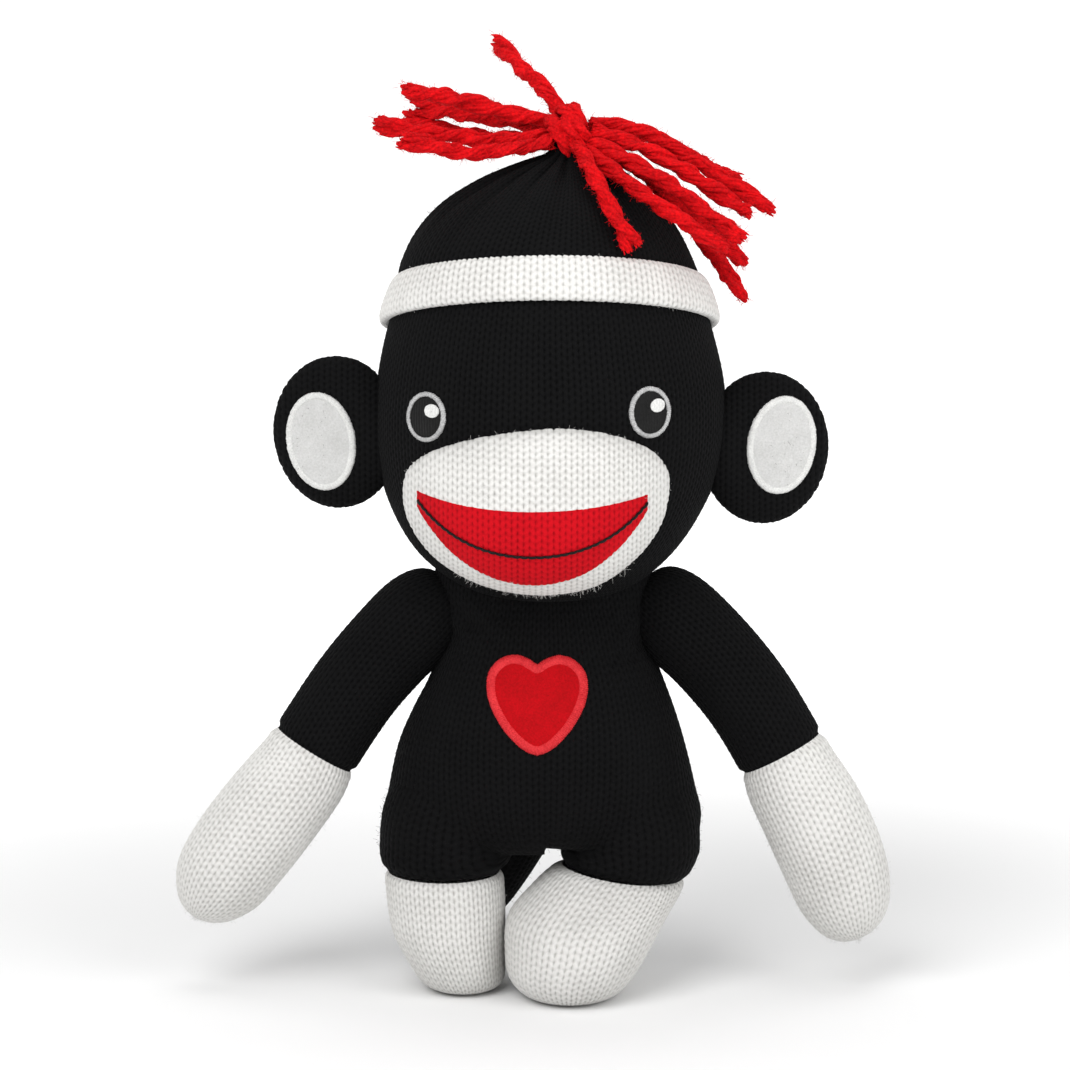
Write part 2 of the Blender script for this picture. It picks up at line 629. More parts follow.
def smooth_max(a, b, reach):
    """The larger of two values, rounded off over a reach where they are nearly equal."""
    share = np.clip(0.5 + 0.5 * (a - b) / reach, 0, 1)
    return b + (a - b) * share + reach * share * (1 - share)


def seam_tilt(grid, side):
    """Lowers the outer side of the left ankle's seam and of the cloth round it."""
    if side == "right":
        return grid
    ankle = LEFT_LEG[ANKLE][0]
    near = np.exp(-(((grid[..., 2] - ankle[2]) / 7) ** 2))
    tilted = grid.copy()
    tilted[..., 2] -= SEAM_SLOPE * near * (grid[..., 0] - ankle[0])
    return tilted


def make_hip(side, hip, ankle):
    """One side of the seat: knit that runs from the torso down to the ankle and bends as the leg swings."""
    middle, wide, deep = ankle
    inward = -math.copysign(1, hip[0])
    heights = np.arange(middle[2], WAIST + 3, 0.4)
    turns = full_circle(HIP_POINTS)
    grid = np.empty((len(heights), len(turns), 3))
    for i, z in enumerate(heights):
        rise = min((z - middle[2]) / SWELL_HEIGHT, 1.0)
        swell = math.sin(rise * math.pi / 2)
        centre = np.array(middle[:2]) + (np.array(hip) - middle[:2]) * rise
        above = max(z - HIP_HEIGHT, 0)
        shrink = 0.022 * above**2
        size = (wide + (HIP_RADIUS - wide) * swell - shrink, deep + (HIP_RADIUS - deep) * swell - shrink)
        rounding = max(2.5 - 0.2 * above, 0.1)
        for j, turn in enumerate(turns):
            way = np.array([math.cos(turn), math.sin(turn)])
            leg = 1 / math.hypot(way[0] / size[0], way[1] / size[1])
            hit, _, _, far = torso_tree.ray_cast(Vector(place((*centre, z))), Vector((*way, 0)))
            reach = leg if hit is None or z < HIP_FREE else smooth_max(far / MM, leg, rounding)
            if way[0] * inward > 0.01:
                wall = (TRUNK_MIDDLE + inward * HIP_OVERLAP * min(above / 2, 1) - centre[0]) / way[0]
                reach = -smooth_max(-reach, -wall, 0.3 * rounding)
            reach -= 0.7 * math.exp(-(((z - middle[2]) / 0.9) ** 2)) + 0.15 * max(z - WAIST, 0)
            grid[i, j] = (*(centre + way * reach), z)
    u, v = trunk_stitches(grid)
    grid = seam_tilt(grid, side)
    raised = LOW_STITCH * (stitch_height(u, v) - 0.5)
    points = grid + normals_of(grid) * raised[:, :, None]
    piece = knit_mesh(f"{side}_hip_knit", points, u, v, TRUNK_WALES, BLACK_KNIT)
    chosen = random.integers(len(grid) - 10, size=500), random.integers(len(turns), size=500)
    join_fuzz(piece, strands_of_fuzz(points[chosen], normals_of(grid)[chosen], 0.9))
    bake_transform(piece)
    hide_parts(f"{side}_hip_cover")


make_hip("left", (19.4, -3.5), LEFT_LEG[ANKLE])
make_hip("right", (-19.4, -3.5), RIGHT_LEG[ANKLE])

# Limbs -----------------------------------

ARM_WALES = 27
LEG_WALES = 36
SEAM_CLEAR = 4  # no fibres stand this close to the wrist's seam
SOLE = 3.6  # height of the floor
SOLE_CLEAR = 2.4  # no fibres stand this close to the floor


def make_arm(side, stations):
    """One arm: a black sleeve and a white hand, sewn together at the wrist."""
    grid = rings(stations, around=32, step=2.2, across=(0.0, 1.0, 0.0))
    grid = stuff(grid, cap=1.0, pressure=2.5, pins=sewn(0, 1, 2, 3, 4))
    plain = Cloth(grid, ARM_WALES)
    wrist_middle = np.array(stations[WRIST][0])
    near = np.linalg.norm(plain.smooth.mean(1) - wrist_middle, axis=1)
    wrist = plain.reach[int(np.argmin(near))]
    arm = Cloth(grid, ARM_WALES, 8, 5, groove=wrist)
    sleeve = arm.piece(f"{side}_sleeve_knit", BLACK_KNIT, LOW_STITCH, 0, wrist)
    hand = arm.piece(f"{side}_hand_knit", WHITE_KNIT, HIGH_STITCH, wrist)
    fuzz(sleeve, arm, 1200, keep=lambda points: points[:, 2] > wrist_middle[2] + SEAM_CLEAR)
    fuzz(hand, arm, 1200, 0.7, keep=lambda points: points[:, 2] < wrist_middle[2] - SEAM_CLEAR)
    give(sleeve, f"{side}_arm", f"{side}_sleeve", f"{side}_arm_filling", fill=0.75)
    give(hand, f"{side}_arm", f"{side}_hand", fill=0.75)


def make_foot(side, stations):
    """One foot, from the ankle down to its flat sole."""
    grid = rings(stations, around=36, step=2.2, level=True)[:, ::-1]
    grid = stuff(grid, cap=0.8, pressure=2.5, pins=sewn(0, 1, 2, 3, -1, -2))
    height = stations[ANKLE][0][2]
    plain = Cloth(grid, LEG_WALES)
    ankle = plain.reach[int(np.argmax(plain.smooth[:, :, 2].mean(1) <= height))]
    leg = Cloth(grid, LEG_WALES, 8, 5, groove=ankle)
    floor = place((0, 0, SOLE))[2]
    leg.smooth = seam_tilt(leg.smooth, side)
    foot = leg.piece(f"{side}_foot_knit", WHITE_KNIT, HIGH_STITCH, ankle)
    for vertex in foot.data.vertices:
        vertex.co.z = max(vertex.co.z, floor)
    low, high = SOLE + SOLE_CLEAR, height - 1
    fuzz(foot, leg, 900, 0.7, keep=lambda points: (points[:, 2] < high) & (points[:, 2] > low))
    give(foot, f"{side}_leg", f"{side}_foot", f"{side}_leg_filling", fill=0.8)


make_arm("left", LEFT_ARM)
make_arm("right", RIGHT_ARM)
make_foot("left", LEFT_LEG)
make_foot("right", RIGHT_LEG)

tail_grid = stuff(rings(TAIL, around=20, step=2.2), cap=0.5, pressure=2.5, pins=sewn(0, 1, 2))
tail = Cloth(tail_grid, 15)
tail_piece = tail.piece("tail_knit", BLACK_KNIT, LOW_STITCH)
fuzz(tail_piece, tail, 500)
give(tail_piece, "tail", "tail_cover", "tail_filling", fill=0.7)

# Patches and stitches --------------------

GRAIN_PITCH = 0.55  # from one thread to the next in an embroidered patch


def satin(name, tree, outline, material, width, pitch, height):
    """A border of close straight stitches across an outline, each from its outer to its inner edge."""
    edge = spline(outline, np.arange(0, len(outline), 0.04), wrap=True)
    ahead = unit(np.roll(edge, -6, 0) - np.roll(edge, 6, 0))
    inward = np.stack([-ahead[:, 1], ahead[:, 0]], -1)
    if ((edge + inward - edge.mean(0)) ** 2).sum() > ((edge - edge.mean(0)) ** 2).sum():
        inward = -inward
    # the stitches keep their distance along whichever edge of the border is the longer one
    edges = np.stack([edge, edge + inward * width])
    along = np.cumsum(np.linalg.norm(np.roll(edges, -1, 1) - edges, axis=2).max(0))
    count = int(along[-1] / pitch)
    chosen = np.searchsorted(along, np.arange(count) / count * along[-1])
    edge, inward = edge[chosen], inward[chosen]
    paths = []
    # a stitch comes up out of the cloth, arches over the border and goes down beside the patch
    for share, lift in ((0.0, -0.1), (0.12, 0.32), (0.5, height), (0.88, 0.42), (1.0, 0.25)):
        jitter = random.normal(0, 0.03, (count, 1))
        spots = edge + inward * (width * share + jitter)
        points, _ = surface_points(tree, spots[:, 0], spots[:, 1], lift)
        paths.append(points)
    paths = np.stack(paths, 1)
    return tubes(name, paths, pitch * 0.62, 6, material)


def filled(name, tree, outline, material, lift, dome, grain=0.0):
    """A patch within an outline, a little domed, with its edge pressed into the cloth."""
    outline = np.asarray(outline, float)
    middle = outline.mean(0)
    shares = np.concatenate([np.linspace(0.02, 0.9, 26), [0.94, 0.97, 0.99, 1.0]])
    spots = middle + (outline - middle)[None] * shares[:, None, None]
    rise = lift + dome * (1 - shares**2)
    rise[-3:] = [lift * 0.8, lift * 0.45, 0.0]
    points, normals = surface_points(tree, spots[..., 0], spots[..., 1], rise[:, None, None])
    points += normals * (grain * np.sin(spots[..., 0] * 2 * math.pi / GRAIN_PITCH))[..., None]
    faces = grid_faces(*points.shape[:2])
    closed = faces.tolist() + [list(range(points.shape[1]))[::-1]]
    uv = corner_uv(*flat_stitches(points, middle), faces).reshape(-1, 2)
    uv = np.concatenate([uv, np.stack(flat_stitches(points[0], middle), -1)[::-1]])
    return link_mesh(name, points, closed, material, uv)


def turned(x, y, degrees):
    """A pair of coordinates turned about their origin."""
    cos, sin = math.cos(math.radians(degrees)), math.sin(math.radians(degrees))
    return x * cos - y * sin, x * sin + y * cos


def oval(middle, wide, tall, lean):
    """An ellipse's points, leaning by some degrees."""
    turn = full_circle(96)
    x, z = turned(wide * np.cos(turn), tall * np.sin(turn), lean)
    return np.stack([middle[0] + x, middle[1] + z], -1)


# Ears ------------------------------------

EAR_RADII = (13.8, 4.8, 15.9)
EAR_DISH = 0.42  # how much of its depth the ear's front is dished by


def make_ear(side, middle, yaw, patch, lean):
    """A flat stuffed ear with a felt patch in its dished front."""
    turn = np.linspace(0, math.pi, 26)[:, None]
    around = full_circle(48)[None]
    out = np.sin(turn) ** 0.85
    dish = 1 - EAR_DISH * np.exp(-((out / 0.62) ** 4)) * (np.cos(turn) > 0)
    x = EAR_RADII[0] * out * np.cos(around)
    y = -EAR_RADII[1] * np.sign(np.cos(turn)) * np.abs(np.cos(turn)) ** 0.8 * dish * np.ones_like(around)
    z = EAR_RADII[2] * out * np.sin(around)
    grid = (np.stack([*turned(x, y, yaw), z], -1) + np.array(middle))[::-1]
    grid = stuff(grid, cap=0.7, pressure=2.0, pins=((0, 0.8), (-1, 0.8), (-3, 0.9)))
    ear = Cloth(grid, 40, 7, 4, stitches=lambda points: flat_stitches(points, (middle[0], middle[2])))
    piece = ear.piece(f"{side}_ear_knit", BLACK_KNIT, LOW_STITCH)
    tree = tree_of(ear.smooth)
    inner, rim = oval(patch, 6.7, 9.7, lean), oval(patch, 7.2, 10.25, lean)
    felt = filled(f"{side}_ear_felt", tree, inner, WHITE_FELT, lift=0.45, dome=0.3)
    border = satin(f"{side}_ear_border", tree, rim, WHITE_THREAD, width=1.2, pitch=0.34, height=0.62)
    fuzz(piece, ear, 700, keep=lambda points: points[:, 1] > middle[1] - 2.5)
    give(piece, f"{side}_ear", f"{side}_ear_cover", f"{side}_ear_filling", fill=0.6)
    give(felt, f"{side}_ear", f"{side}_ear_patch")
    give(border, f"{side}_ear", f"{side}_ear_stitching")


make_ear("left", (47.0, -1.0, 117.6), 16, (50.4, 118.5), -6)
make_ear("right", (-42.4, -1.0, 120.9), -16, (-45.7, 119.3), 8)

# Muzzle and mouth ------------------------

MUZZLE_MIDDLE = (-0.9, 110.0)
MUZZLE_TIP = -43.2
MUZZLE_EDGE = [
    (26.4, 112.6), (25.5, 117.4), (21.4, 121.6), (13.8, 124.7), (5, 126), (-4, 125.4), (-13.8, 123.4),
    (-22.2, 120.1), (-27, 115.9), (-28.2, 110.4), (-27.2, 104.4), (-22.7, 97.8), (-14.4, 92.6), (-5.4, 90.3),
    (3.6, 90.1), (12.4, 92.2), (20.2, 98), (25, 105),
]
head_tree = tree_of(head.smooth)


def under_chin(points):
    """Which points are low on the muzzle, behind its front and before its seam."""
    return (points[:, 2] < 97) & (points[:, 1] > -36) & (points[:, 1] < -23)


def make_muzzle():
    """The white muzzle: a cap that swells out of its edge on the head. Returns its surface."""
    edge = spline(MUZZLE_EDGE, np.arange(72) / 72 * len(MUZZLE_EDGE), wrap=True)
    base = surface_points(head_tree, edge[:, 0], edge[:, 1], 0.0)[0][:, 1]
    theta = np.concatenate([np.linspace(0.02, math.pi / 2, 22), [math.pi / 2 + 0.12]])[:, None]
    centre = np.array([MUZZLE_MIDDLE[0], MUZZLE_MIDDLE[1] - 1.5])
    flat = centre + (edge[None] - centre) * (np.sin(theta) ** 0.9)[..., None]
    y = base[None] + (MUZZLE_TIP - base[None]) * np.cos(theta)
    grid = np.stack([flat[..., 0], y, flat[..., 1]], -1)[::-1]
    grid = stuff(grid, cap=1.2, pressure=2.5, pins=sewn(0, 1))
    grid[-1] = grid[-2].mean(0)  # closes the tip
    muzzle = Cloth(grid, 52, 7, 4, stitches=lambda points: flat_stitches(points, MUZZLE_MIDDLE))
    piece = muzzle.piece("muzzle_knit", WHITE_KNIT, HIGH_STITCH)
    give(piece, "head", "muzzle_cover", "muzzle_filling", fill=0.8)
    fuzz(piece, muzzle, 1100, 0.6, keep=lambda points: points[:, 2] > 112)
    fuzz(piece, muzzle, 4200, 0.9, keep=under_chin)
    return tree_of(muzzle.smooth)


muzzle_tree = make_muzzle()

MOUTH_MIDDLE_X = -1.65
MOUTH_HALF = 23.5
MOUTH_TOP = (110.5, 0.0043)  # curves of the mouth: height in the middle, and how they rise to the sides
MOUTH_BOTTOM = (94.1, 0.0215, 0.000013)
SMILE = (101.2, 0.0132, 0.0000108)
SMILE_STITCH = 1.9


def mouth_line(t, middle, square, fourth=0.0):
    """Height of a curve of the mouth at t to the side of its middle."""
    return middle + square * t**2 + fourth * t**4


def make_mouth():
    """The red knitted patch of the mouth, in step with the muzzle's own stitches."""
    t = np.linspace(-MOUTH_HALF, MOUTH_HALF, 190)
    down = np.concatenate([[0, 0.012, 0.03], np.linspace(0.06, 0.94, 56), [0.97, 0.988, 1.0]])
    top, bottom = mouth_line(t, *MOUTH_TOP), mouth_line(t, *MOUTH_BOTTOM)
    zs = top[None] + (bottom - top)[None] * down[:, None]
    xs = np.tile(MOUTH_MIDDLE_X + t, (len(down), 1))
    inside = np.minimum(np.minimum(down, 1 - down)[:, None] * 16, (1 - np.abs(t / MOUTH_HALF))[None] * 24)
    lift = 0.45 * np.sqrt(np.clip(inside * 1.6, 0, 1)) - 0.12  # its edge is pressed into the muzzle
    points, normals = surface_points(muzzle_tree, xs, zs, lift[..., None])
    u, v = flat_stitches(points, MUZZLE_MIDDLE)
    points = points + normals * (HIGH_STITCH * (stitch_height(u, v) - 0.5))[..., None]
    faces = grid_faces(*points.shape[:2], wrap=False)
    piece = link_mesh("mouth_knit", points, faces.tolist(), RED_KNIT, corner_uv(u, v, faces))
    give(piece, "head", "mouth_patch")


def make_smile():
    """A line of small black back stitches across the mouth."""
    t = np.linspace(-MOUTH_HALF + 0.6, MOUTH_HALF - 0.3, 400)
    points, normals = surface_points(muzzle_tree, MOUTH_MIDDLE_X + t, mouth_line(t, *SMILE), 0.0)
    along = lengths(points)
    paths = []
    for start in np.arange(0, along[-1] - SMILE_STITCH, SMILE_STITCH * 0.86):
        at = np.interp(np.linspace(start, start + SMILE_STITCH, 9), along, np.arange(len(along)))
        arch = 0.36 + 0.42 * np.sin(np.linspace(0, math.pi, 9)) ** 0.7
        paths.append(spline(points, at) + spline(normals, at) * arch[:, None])
    piece = tubes("smile_thread", paths, 0.29, 8, BLACK_THREAD, taper=0.45)
    give(piece, "head", "smile_stitch")


make_mouth()
make_smile()

# Eyes ------------------------------------


def make_eye(side, middle, radii, lean, glint):
    """An embroidered eye: a ring of pale stitches round black ones, with a white glint."""
    wide, tall = radii
    rim, inner = oval(middle, wide, tall, lean), oval(middle, wide - 0.5, tall - 0.5, lean)
    name = f"{side}_eye"
    ring = satin(f"{name}_ring_thread", head_tree, rim, GREY_THREAD, width=0.58, pitch=0.42, height=0.45)
    pupil = filled(f"{name}_pupil_thread", head_tree, inner, BLACK_THREAD, lift=0.25, dome=0.25, grain=0.07)
    dot = oval(glint, 1.5, 1.4, 20)
    spot = filled(f"{name}_glint_thread", head_tree, dot, WHITE_THREAD, lift=0.62, dome=0.12, grain=0.05)
    for piece, node in ((ring, "ring"), (pupil, "pupil"), (spot, "glint")):
        give(piece, "head", f"{name}_{node}")


make_eye("right", (-23.2, 127.2), (3.85, 5.0), -9, (-21.9, 128.6))
make_eye("left", (22.3, 128.7), (4.1, 5.1), 6, (23.7, 130.0))

# Heart -----------------------------------

HEART_MIDDLE = (-0.6, 66.7)
HEART_HALF = [
    (0, 7.9), (2.3, 9.2), (4.8, 9.7), (7.7, 8.7), (9.9, 6.2), (10.4, 3.1), (9.6, -0.5),
    (7.2, -4.7), (4.1, -8.1), (1.7, -9.7), (0, -10.2),
]


def heart(shrink=0.0):
    """A heart's outline, drawn in by shrink all round."""
    right = spline(HEART_HALF, np.linspace(0, len(HEART_HALF) - 1, 60))
    outline = np.vstack([right, right[-2:0:-1] * (-1, 1)])
    ahead = unit(np.roll(outline, -1, 0) - np.roll(outline, 1, 0))
    inward = np.stack([ahead[:, 1], -ahead[:, 0]], -1)
    return outline + inward * shrink + np.array(HEART_MIDDLE)


heart_felt = filled("heart_felt", torso_tree, heart(0.6), RED_FELT, lift=0.42, dome=0.3)
give(heart_felt, "torso", "heart_patch")
heart_border = satin(
    "heart_border_thread", torso_tree, heart(), PALE_RED_THREAD, width=1.8, pitch=0.4, height=0.8
)
give(heart_border, "torso", "heart_border")

# Hat -------------------------------------

HAT_LEAN = math.radians(15)
HAT_MIDDLE = np.array([2.0, 0.0, 124.0])
BAND_LOW = 19.5  # along the hat's axis from HAT_MIDDLE
BAND_LEAST, BAND_MOST = 0.2, 9.4  # the band's ends curl past these heights above its low edge
CROWN_START = 5  # the crown begins this far up inside the band
CROWN_SINK = 1.5
BAND_PROFILE = [  # (height, distance from the head)
    (1.4, -0.6), (0.1, 0.2), (-0.3, 1.2), (0.4, 2.1), (2.2, 2.5), (4.8, 2.6), (7.1, 2.6), (8.5, 2.4),
    (9.1, 1.7), (9, 0.8), (8.2, 0), (7.2, -0.5),
]
CROWN = [
    ((2, 0, 128), 37, 34.7), ((2, 0, 138), 35.6, 33.4), ((1.9, 0, 147), 33.4, 31.5),
    ((1.6, 0, 154), 31.4, 29.8), ((1.5, 0, 162), 27.8, 26.6), ((2, 0, 168.6), 22.5, 21.6),
    ((3.2, -0.2, 173.6), 15.6, 15), ((4.6, -0.5, 176.8), 9.2, 9), ((5.8, -0.8, 179), 4.6, 4.6),
    ((6.3, -1, 181.6), 3, 3), ((6.4, -1, 182.4), 0.1, 0.1),
]
crown_tree = tree_of(rings(CROWN, 72, 1.5, level=True))
hat_up = np.array([0, math.sin(HAT_LEAN), math.cos(HAT_LEAN)])
hat_back = np.array([0, math.cos(HAT_LEAN), -math.sin(HAT_LEAN)])


def hat_point(turn, height, tree, lift):
    """A point on the hat: turn goes round its leaning axis, height is along it."""
    out = math.cos(turn) * np.array([1.0, 0, 0]) + math.sin(turn) * hat_back
    start = HAT_MIDDLE + hat_up * height
    hit, _, _, _ = tree.ray_cast(Vector(place(start + out * 60)), Vector(-out))
    return own(hit) + out * lift


def make_band():
    """The white band: a soft roll of knit round the head."""
    columns = 72
    grid = np.empty((len(BAND_PROFILE), columns, 3))
    for j in range(columns):
        for i, (height, lift) in enumerate(BAND_PROFILE):
            kept = min(max(height, BAND_LEAST), BAND_MOST)
            grid[i, j] = hat_point(2 * math.pi * j / columns, BAND_LOW + kept, head_tree, lift)
            grid[i, j] += hat_up * (height - kept)
    band = Cloth(grid, 88, 8, 5)
    piece = band.piece("hat_band_knit", WHITE_KNIT, HIGH_STITCH)
    fuzz(piece, band, 500, 0.5)
    give(piece, "head", "hat_band")


def make_crown():
    """The black crown, gathered at its top into the tassel's knot."""
    columns, rows = 120, 46
    last = unit(np.array(CROWN[-2][0]) - HAT_MIDDLE)
    grid = np.empty((rows, columns, 3))
    for j in range(columns):
        turn = 2 * math.pi * j / columns
        first = unit(hat_point(turn, BAND_LOW + CROWN_START, crown_tree, 0) - HAT_MIDDLE)
        angle = math.acos(np.clip(first @ last, -1, 1))
        for i in range(rows):
            share = i / (rows - 1) * 0.985
            way = (math.sin((1 - share) * angle) * first + math.sin(share * angle) * last) / math.sin(angle)
            hit, _, _, _ = crown_tree.ray_cast(Vector(place(HAT_MIDDLE + way * 90)), Vector(-way))
            grid[i, j] = own(hit)
    out = normals_of(grid)
    share = np.linspace(0, 1, rows)[:, None]
    turn = full_circle(columns)[None]
    gather = np.clip((share - 0.12) / 0.6, 0, 1) ** 1.4 * (1 - share**7)
    folds = 0.62 * np.sin(21 * turn + 1.6 * np.sin(2 * turn))
    folds = folds + 0.3 * np.sin(34 * turn + 2 * np.sin(3 * turn))
    grid += out * (folds * gather - CROWN_SINK * np.clip(1 - share / 0.14, 0, 1))[..., None]
    crown = Cloth(grid, 84)
    piece = crown.piece("hat_crown_knit", BLACK_KNIT, CROWN_STITCH)
    fuzz(piece, crown, 1200)
    give(piece, "head", "hat_crown")


make_band()
make_crown()

# Tassel ----------------------------------

TIE = np.array([6.4, -1.0, 183.4])
STRANDS = {  # from the knot to the free end
    "top": [(5.2, 0.4, 185.4), (1.6, 4.4, 191.4), (-3.6, 11.0, 195.8), (-9.2, 21.6, 201.0)],
    "left_high": [(3.0, 0.8, 185.4), (-6.6, 1.6, 187.4), (-17.4, 0.2, 190.4), (-28.2, -2.4, 192.6)],
    "left_back": [(2.6, 3.0, 183.6), (-7.4, 7.4, 186.0), (-16.8, 10.8, 186.2), (-26.4, 15.6, 187.6)],
    "left_low": [(2.4, -1.8, 183.0), (-8.0, -3.6, 181.8), (-20.4, -5.2, 183.6), (-33.6, -8.6, 185.8)],
    "left_hat": [(3.0, -3.8, 182.2), (-7.4, -8.2, 180.2), (-17.8, -10.8, 179.8), (-28.2, -14.8, 183.4)],
    "left_rear": [(3.2, 2.8, 181.6), (-6.6, 9.6, 181.0), (-17.0, 14.0, 181.8), (-28.6, 15.0, 185.4)],
    "right_high": [
        (10.0, 0.2, 185.4), (19.6, -0.6, 185.2), (31.4, -3.4, 178.6), (42.0, -4.0, 171.6),
        (48.0, -6.0, 168.0),
    ],
    "right_back": [(10.2, 3.2, 183.8), (20.4, 5.4, 183.8), (31.0, 6.0, 178.4), (41.4, 8.8, 172.4)],
    "right_mid": [(10.6, -2.8, 184.0), (20.6, -6.0, 181.6), (32.4, -8.6, 174.6), (43.0, -12.0, 167.8)],
    "right_low": [(10.4, -4.6, 182.0), (19.4, -10.6, 178.0), (30.2, -14.0, 171.8), (41.4, -16.2, 162.8)],
    "right_front": [(9.4, -5.6, 180.4), (16.6, -14.4, 175.0), (27.0, -19.8, 168.4), (37.6, -22.4, 161.6)],
    "side_high": [(10.8, -0.4, 181.6), (20.2, -2.0, 177.2), (32.0, -1.4, 166.2), (42.4, -3.2, 156.6)],
    "side_low": [
        (10.6, 2.4, 181.2), (19.8, 4.6, 177.0), (30.8, 3.4, 166.0), (38.8, 4.0, 153.6), (42.6, 2.6, 148.4),
    ],
    "front": [(7.0, -4.4, 182.4), (9.2, -13.6, 178.6), (14.0, -21.2, 170.8), (18.8, -24.6, 162.2)],
}
TWIST = 15.0  # millimetres to one turn of the two plies
PLY_RADIUS = 1.2
PLY_AWAY = 0.6  # from the middle of the yarn to the middle of a ply
FILAMENTS = 7  # loose slivers of fibre laid round each ply
FILAMENT_RADIUS = 0.42
YARN_HALO = 3.3  # how far fibres reach from the middle of the yarn


def smooth_route(points):
    """The line of a NURBS spline whose control points are the route's."""
    data = bpy.data.curves.new("route", "CURVE")
    data.dimensions = "3D"
    line = data.splines.new("NURBS")
    line.points.add(len(points) - 1)
    for point, at in zip(line.points, place(points)):
        point.co = (*at, 1)
    line.order_u = 3
    line.use_endpoint_u = True
    line.resolution_u = 24
    holder = new_object("route", data)
    bpy.context.view_layer.update()
    mesh = bpy.data.meshes.new_from_object(holder)
    route = own([vertex.co[:] for vertex in mesh.vertices])
    bpy.data.objects.remove(holder)
    return route


def even(route, step):
    """The same line with its points a step apart."""
    along = lengths(route)
    count = max(int(along[-1] / step), 4)
    at = np.interp(np.linspace(0, along[-1], count + 1), along, np.arange(len(along)))
    return spline(route, at), along[-1]


def plies(route, start=0.0, split=7.5, loose=0.8):
    """The two twisted plies of a length of yarn; they part a little at its end."""
    points, length = even(route, 0.5)
    side, up = sides_of(points, [0.2, 0.5, 0.84])
    reach = np.linspace(0, length, len(points))
    parted = np.clip((reach - (length - split)) / split, 0, 1) ** 1.5
    turning = start + np.cumsum((1 - 0.9 * parted) * np.gradient(reach)) / TWIST * 2 * math.pi
    away = PLY_AWAY * (1 + loose * parted)
    pair = []
    for turn in (turning, turning + math.pi):
        stray = spline(random.normal(0, 0.14, (8, 3)), np.linspace(0, 7, len(points)))
        path = points + round_way(turn, side, up) * away[:, None] + stray
        tip = path[-1] + 1.4 * (path[-1] - path[-2])
        pair.append(np.vstack([path, tip]))
    return pair


def wander(knots, places):
    """A smooth random line: one random value at each knot, read at some places between them."""
    return spline(random.normal(0, 1, knots), places)


def yarn_mesh(name, paths):
    """Plies as soft ropes: a core with slivers laid round it that wander, swell and fray at the end."""
    lines, sizes = [], []
    for path in paths:
        count = len(path)
        steps = np.arange(count)
        side, up = sides_of(path, [0.31, 0.62, 0.72])
        knots = max(count // 5, 4)
        places = np.linspace(0, knots - 1, count)
        swell = 1 + 0.1 * wander(knots, places)
        ends = np.sqrt(np.clip(np.minimum(steps, count - 1 - steps) / 4 + 0.1, 0, 1))
        lines.append(path)
        sizes.append(0.84 * PLY_RADIUS * swell * ends)
        for number in range(FILAMENTS):
            turn = number / FILAMENTS * 2 * math.pi + steps * 0.2 + 0.5 * wander(knots, places)
            away = 0.72 * PLY_RADIUS * swell * (1 + 0.16 * wander(knots, places))
            kept = count - random.integers(0, 4)
            lines.append((path + round_way(turn, side, up) * away[:, None])[:kept])
            sizes.append((FILAMENT_RADIUS * random.uniform(0.75, 1.2) * ends)[:kept])
    return tubes(name, lines, sizes, 7, RED_YARN)


def yarn_fuzz(piece, paths, middle, count):
    """The halo of fibres round yarn, lying mostly along it and close to its middle line."""
    points, ways = [], []
    for _ in range(count):
        path = paths[random.integers(len(paths))]
        k = random.integers(1, len(path) - 1)
        out = unit(random.normal(0, 1, 3))
        points.append(path[k] + out * PLY_RADIUS * 0.9)
        ways.append(out + unit(path[k + 1] - path[k - 1]) * random.choice((-0.9, 0.9)))
    hairs = strands_of_fuzz(np.array(points), np.array(ways), 1.0)
    gaps = np.linalg.norm(hairs[:, -1, None] - middle[None], axis=2)
    join_fuzz(piece, hairs[gaps.min(1) < YARN_HALO], 0.04)


def make_tassel():
    """Each length of yarn, tied at the top of the hat."""
    for number, (name, route) in enumerate(STRANDS.items()):
        name = f"strand_{name}"
        line = smooth_route(route)
        points, length = even(line, 1.0)
        pair = plies(line, start=number * 1.3)
        strand = yarn_mesh(f"{name}_yarn", pair)
        yarn_fuzz(strand, pair, points, 1000)
        give(strand, "head", name)


# turns of yarn: lean in degrees, half width, half height, shift sideways
KNOT_LOOPS = ((38, 4.1, 4.5, -2.0), (24, 4.4, 4.8, 0.2), (30, 4.0, 4.2, 2.4), (75, 3.6, 3.6, 0.4))


def make_knot():
    """The yarn wound and tied round the middle of the tassel."""
    paths = []
    for lean, wide, tall, shift in KNOT_LOOPS:
        turn = np.linspace(0, 2 * math.pi * 1.06, 60)
        x, z = turned(shift + 0.5 * np.sin(turn), np.sin(turn) * tall, lean)
        loop = TIE + np.stack([x, np.cos(turn) * wide, z], -1)
        paths.extend(plies(loop, split=0.5, loose=0.0))
    knot = yarn_mesh("tassel_knot_yarn", paths)
    yarn_fuzz(knot, paths, np.vstack(paths), 1800)
    give(knot, "head", "tassel_tie")


make_tassel()
make_knot()

# Floor and light -------------------------

FLOOR_RADIUS = 6.0
GLOW_START, GLOW_END = 0.1, 0.42  # between these distances the floor turns into the backdrop
GLOW = 0.6
LIT = (0, 0, 0.09)


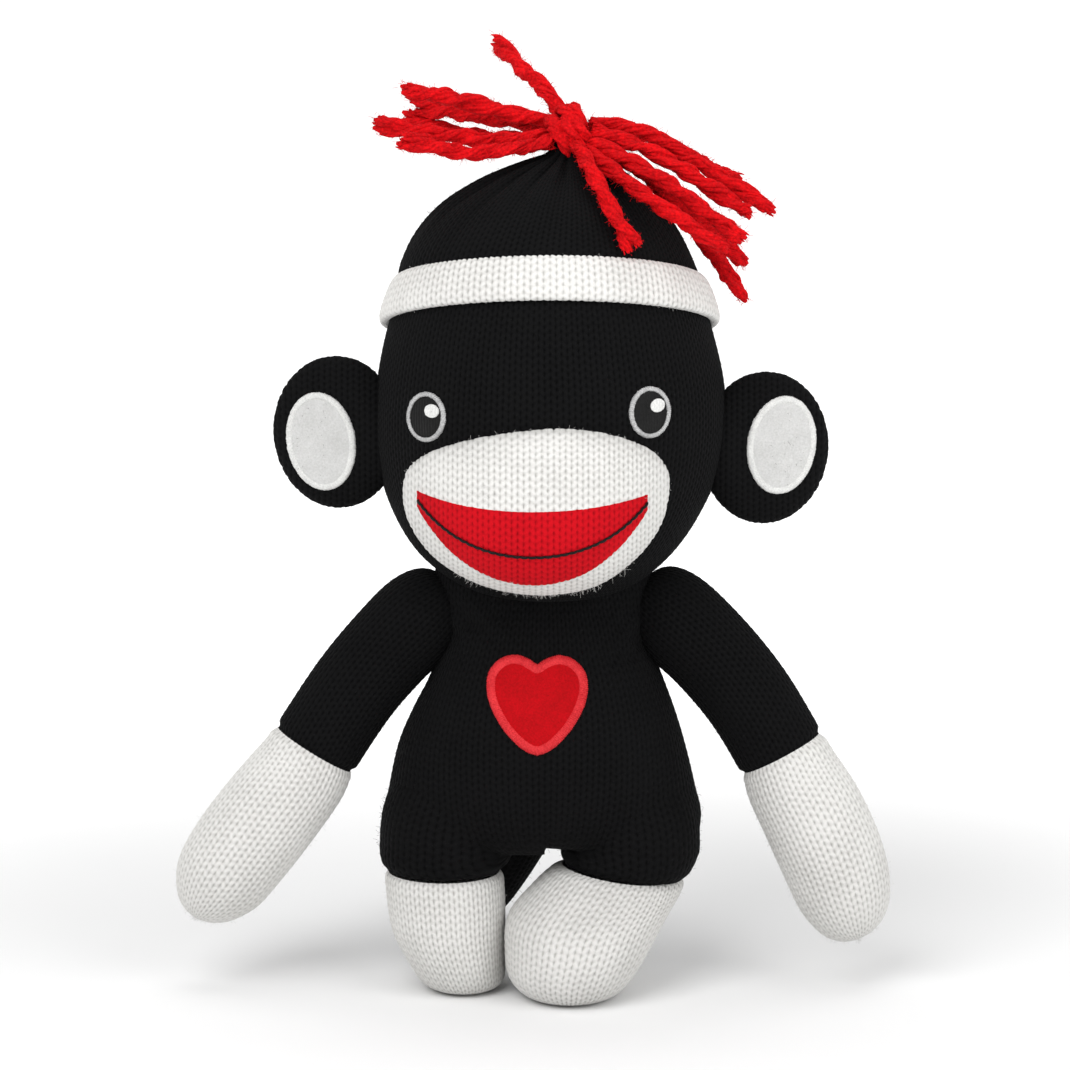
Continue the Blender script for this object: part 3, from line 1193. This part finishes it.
def make_stage():
    """A wide pale floor that turns into a white backdrop away from the toy."""
    nodes = Nodes("floor")
    away = nodes.add("ShaderNodeVectorMath", operation="LENGTH")
    nodes.link(nodes.add("ShaderNodeTexCoord").outputs["Object"], away.inputs[0])
    glow = nodes.add("ShaderNodeMapRange", interpolation_type="SMOOTHSTEP")
    nodes.link(away.outputs["Value"], glow.inputs["Value"])
    set_inputs(glow, From_Min=GLOW_START, From_Max=GLOW_END, To_Max=GLOW)
    nodes.link(glow.outputs["Result"], nodes.shader.inputs["Emission Strength"])
    pale = nodes.ramp(nodes.noise(3.0), (0.88, 0.88, 0.88), (0.9, 0.9, 0.9))
    nodes.link(pale, nodes.shader.inputs["Base Color"])
    set_inputs(nodes.shader, Emission_Color=(1, 1, 1, 1), Roughness=0.9)
    turn = full_circle(96)
    rim = np.stack([np.cos(turn), np.sin(turn), np.zeros(len(turn))], -1) * FLOOR_RADIUS
    floor = new_object("floor", new_mesh("floor", rim, [list(range(len(rim)))]))
    floor.data.materials.append(nodes.material)


def make_world(light, backdrop):
    """Even light from all round, and a white backdrop behind the toy from every side."""
    world = bpy.data.worlds.new("world")
    world.use_nodes = True
    tree = world.node_tree
    path = tree.nodes.new("ShaderNodeLightPath")
    strength = tree.nodes.new("ShaderNodeMapRange")
    set_inputs(strength, To_Min=light, To_Max=backdrop)
    tree.links.new(path.outputs["Is Camera Ray"], strength.inputs["Value"])
    sky = tree.nodes["Background"]
    set_inputs(sky, Color=(1, 1, 1, 1))
    tree.links.new(strength.outputs["Result"], sky.inputs["Strength"])
    bpy.context.scene.world = world


def add_light(name, at, size, power):
    """A soft square lamp that looks at the toy's middle; places and sizes are in metres."""
    data = bpy.data.lights.new(name, "AREA")
    data.size = size
    data.energy = power
    lamp = new_object(name, data)
    lamp.location = at
    lamp.rotation_euler = (Vector(LIT) - Vector(at)).to_track_quat("-Z", "Y").to_euler()


make_stage()
add_light("key", (-0.5, -0.9, 1.0), 0.9, 10)
add_light("fill", (0.8, -0.7, 0.6), 0.9, 5)
add_light("top", (0.0, 0.15, 1.2), 0.8, 3)
make_world(0.55, 1.0)
bpy.context.scene.view_settings.view_transform = "Standard"
